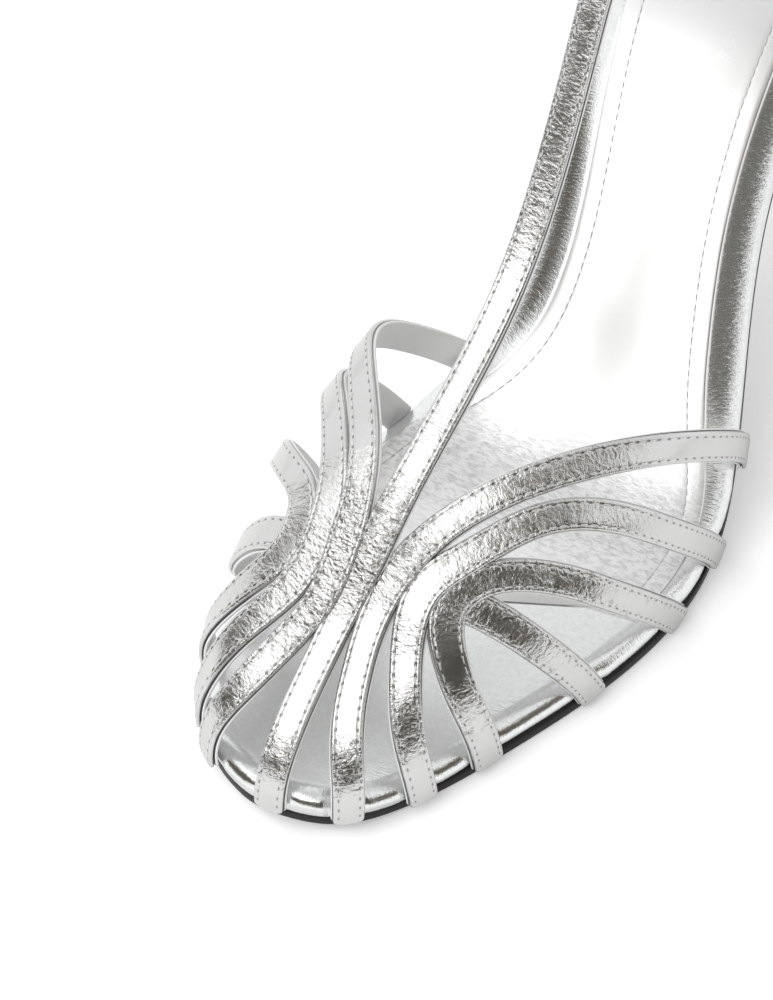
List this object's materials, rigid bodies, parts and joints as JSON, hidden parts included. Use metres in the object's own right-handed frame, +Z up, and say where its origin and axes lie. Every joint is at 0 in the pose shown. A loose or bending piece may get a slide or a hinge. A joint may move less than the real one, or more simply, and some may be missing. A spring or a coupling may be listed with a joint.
{
  "type": "high heel sandal",
  "caption": "Open T-bar sandal with a high slim heel, in silver leather: narrow stitched straps fan over the forefoot, with a padded sock, closed back and buckled ankle strap.",
  "frame": {"origin": "on the floor, under the middle of the tread, 50 mm behind the tip of the sole", "axes": "+X to the outer side of the left foot, +Y from toe to heel, +Z up"},
  "size_m": [0.0851, 0.2179, 0.1541],
  "materials": {
    "silver_leather": "silver foil laminated on leather, finely crinkled",
    "silver_lining": "smooth bright silver",
    "black_sole": "black edge, satin",
    "top_lift": "matte black",
    "buckle_metal": "polished"
  },
  "bodies": {
    "root": {"outsole": "black_sole", "insole": "silver_leather", "sock_lining": "silver_lining", "upper": "silver_leather", "heel_counter": "silver_leather", "ankle_strap": "silver_leather", "buckle_frame": "buckle_metal", "buckle_prong": "buckle_metal", "heel": "silver_leather", "top_lift": "top_lift"}
  },
  "joints": []
}
